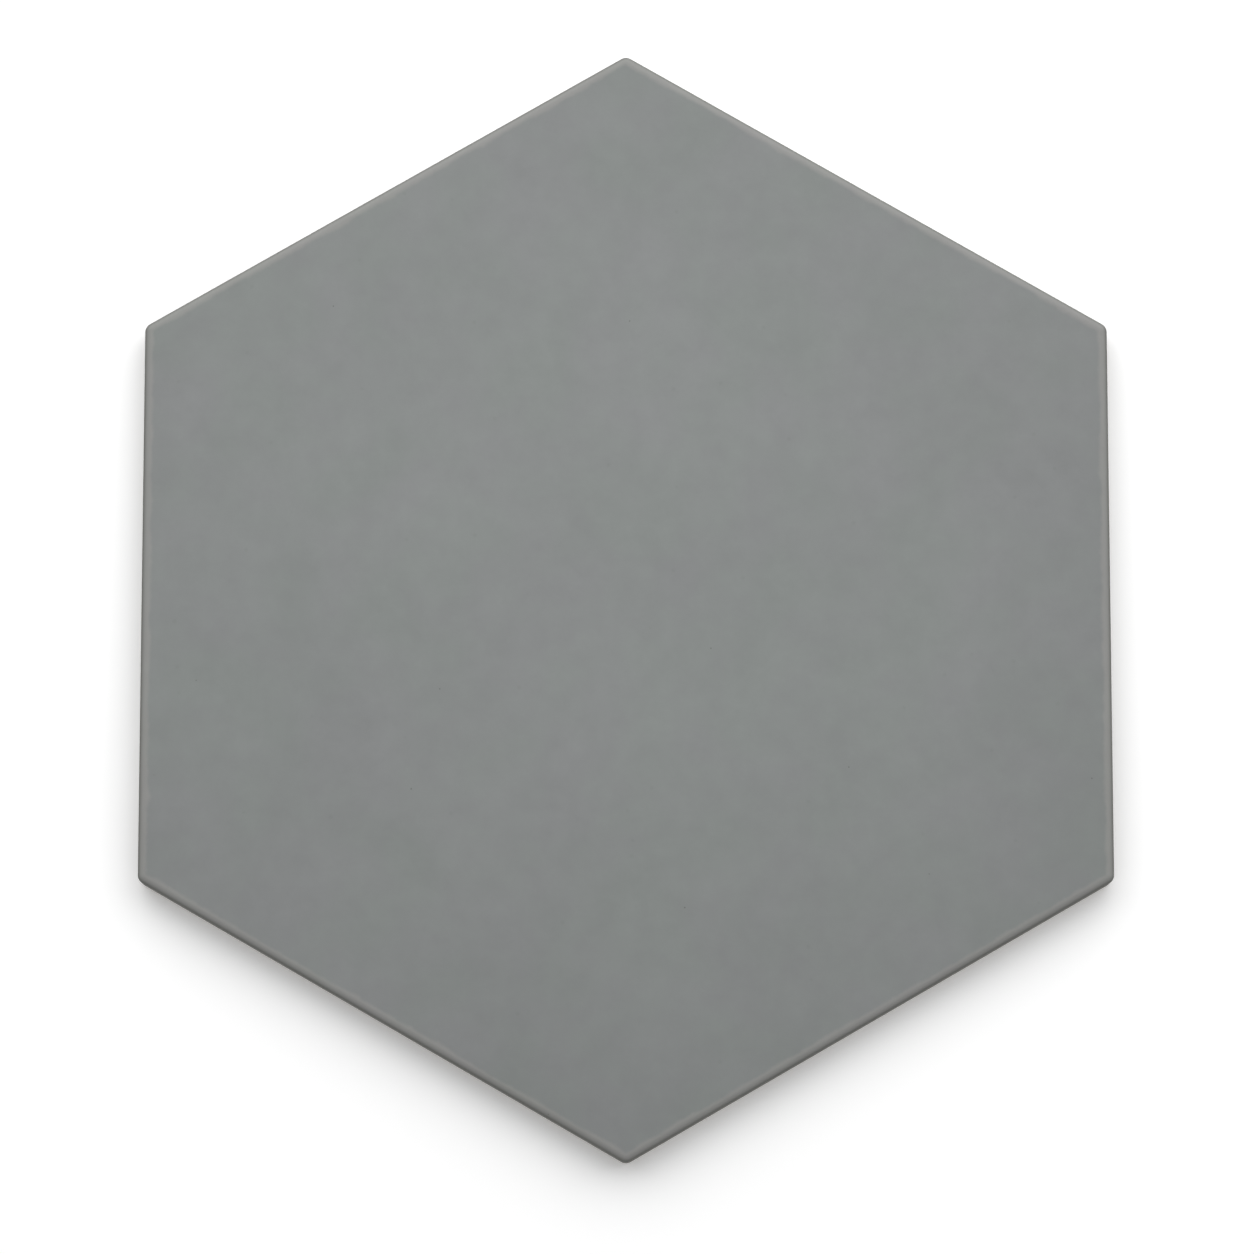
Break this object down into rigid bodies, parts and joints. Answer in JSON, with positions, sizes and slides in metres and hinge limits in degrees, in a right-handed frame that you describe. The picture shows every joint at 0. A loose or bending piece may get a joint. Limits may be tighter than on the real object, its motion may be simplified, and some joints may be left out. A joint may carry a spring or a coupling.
{
  "type": "hexagon floor tile",
  "caption": "Plain matte grey hexagon floor tile with an eased upper edge, small rounded corners and a keyed back for bedding in adhesive.",
  "frame": {"origin": "middle of the tile's back, on the plane that it is bedded on", "axes": "+Z out of the walking face, X across two opposite walls, Y from one corner to the opposite one"},
  "size_m": [0.215, 0.2476, 0.0085],
  "materials": {
    "matte_grey_porcelain": "matte grey glaze fired onto the upper face, the arris and the walls, over a bare warm grey back"
  },
  "bodies": {
    "root": {"hexagon_tile": "matte_grey_porcelain"}
  },
  "joints": []
}
